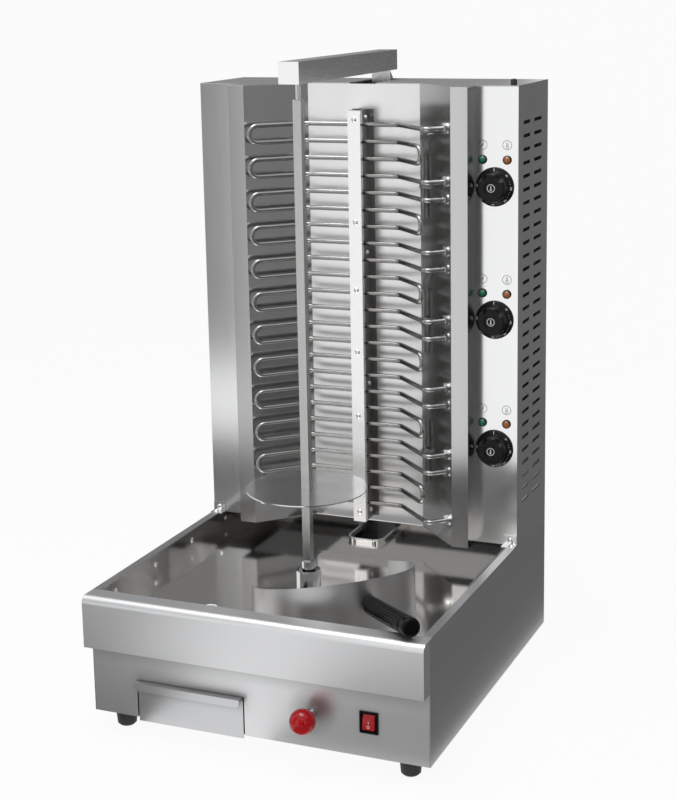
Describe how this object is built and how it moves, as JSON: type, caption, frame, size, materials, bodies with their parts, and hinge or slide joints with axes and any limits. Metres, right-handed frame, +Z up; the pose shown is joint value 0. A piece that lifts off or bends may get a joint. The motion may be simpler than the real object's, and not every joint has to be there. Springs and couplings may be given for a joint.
{
  "type": "vertical kebab grill",
  "caption": "Electric vertical kebab grill: base box with drip tray and drawer, tower of tube heaters in a folded reflector, and a turning spit under an overhead arm.",
  "frame": {"origin": "on the surface that the grill stands on, under the middle of the whole outline in plan", "axes": "+X to the grill's own right as seen from the front, +Y to its back, +Z up; the controls and the ball face -Y"},
  "size_m": [0.5, 0.5896, 0.92],
  "materials": {
    "outer_steel": "brushed",
    "polished_steel": "polished",
    "plain_steel": "matt",
    "heater_tube": "oxidised by heat",
    "bush_bronze": "plain",
    "copper": "plain",
    "thermostat_body": "plain",
    "gear_aluminium": "cast",
    "motor_paint": "matt",
    "rubber": "matt",
    "black_plastic": "satin",
    "black_gloss": "gloss",
    "red_gloss": "gloss",
    "green_lens": "clear",
    "amber_lens": "clear",
    "pale_plastic": "matt"
  },
  "bodies": {
    "stand": {"base_shell": "outer_steel", "base_front": "outer_steel", "apron": "outer_steel", "base_floor": "plain_steel", "tray_pan": "polished_steel", "drain_ring": "polished_steel", "tray_rivets": "polished_steel", "rubber_feet": "rubber", "drawer_runners": "plain_steel", "guide_rods": "polished_steel", "rod_blocks": "plain_steel", "rod_bush": "black_plastic", "switch_housing": "black_gloss", "terminal_block": "pale_plastic", "cable_gland": "black_plastic", "left_column": "outer_steel", "right_column": "outer_steel", "rear_panel": "outer_steel", "top_cover": "outer_steel", "reflector_middle": "polished_steel", "reflector_left": "polished_steel", "reflector_right": "polished_steel", "elements_top": "heater_tube", "elements_middle": "heater_tube", "elements_bottom": "heater_tube", "terminal_nuts": "polished_steel", "element_bracket": "plain_steel", "element_clamp": "polished_steel", "clamp_screws": "plain_steel", "bracket_bolts": "plain_steel", "corner_brackets": "outer_steel", "panel_screws": "plain_steel", "green_lamps": "green_lens", "amber_lamps": "amber_lens", "thermostats": "thermostat_body", "sensor_bulbs": "copper", "sensor_clips": "polished_steel", "corner_plug": "black_plastic"},
    "carriage": {"carriage_plate": "plain_steel", "carriage_bushes": "bush_bronze", "gearbox": "gear_aluminium", "motor": "motor_paint", "rear_post": "outer_steel", "top_arm": "outer_steel", "arm_end_cap": "outer_steel", "top_pin": "polished_steel", "pull_rod": "polished_steel", "ball_knob": "red_gloss"},
    "drive": {"drive_shaft": "polished_steel", "drive_socket": "polished_steel"},
    "spit": {"skewer": "polished_steel", "meat_disc": "polished_steel"},
    "dial_1": {"knob_1": "black_gloss"},
    "dial_2": {"knob_2": "black_gloss"},
    "dial_3": {"knob_3": "black_gloss"},
    "switch_key": {"rocker": "red_gloss"},
    "drawer": {"drawer_tray": "plain_steel", "drawer_front": "outer_steel"},
    "scoop": {"scoop_blade": "polished_steel", "scoop_handle": "black_plastic"}
  },
  "joints": [
    {"name": "carriage_slide", "type": "slide", "parent": "stand", "child": "carriage", "axis": [0, -1, 0], "range_m": [0, 0.05]},
    {"name": "spit_turn", "type": "hinge", "parent": "carriage", "child": "drive", "pos_m": [0, -0.0622, 0.18], "axis": [0, 0, 1], "continuous": true},
    {"name": "spit_lift", "type": "slide", "parent": "drive", "child": "spit", "axis": [0, 0, 1], "range_m": [0, 0.02]},
    {"name": "dial_1_turn", "type": "hinge", "parent": "stand", "child": "dial_1", "pos_m": [0.2155, 0.1328, 0.733], "axis": [0, 1, 0], "range_deg": [0, 270]},
    {"name": "dial_2_turn", "type": "hinge", "parent": "stand", "child": "dial_2", "pos_m": [0.2155, 0.1328, 0.54], "axis": [0, 1, 0], "range_deg": [0, 270]},
    {"name": "dial_3_turn", "type": "hinge", "parent": "stand", "child": "dial_3", "pos_m": [0.2155, 0.1328, 0.347], "axis": [0, 1, 0], "range_deg": [0, 270]},
    {"name": "switch_rock", "type": "hinge", "parent": "stand", "child": "switch_key", "pos_m": [0.165, -0.2432, 0.074], "axis": [1, 0, 0], "range_deg": [0, 16]},
    {"name": "drawer_slide", "type": "slide", "parent": "stand", "child": "drawer", "axis": [0, -1, 0], "range_m": [0, 0.2]},
    {"name": "scoop_lift", "type": "slide", "parent": "stand", "child": "scoop", "axis": [0.5692, -0.5122, 0.6432], "range_m": [0, 0.25]}
  ]
}
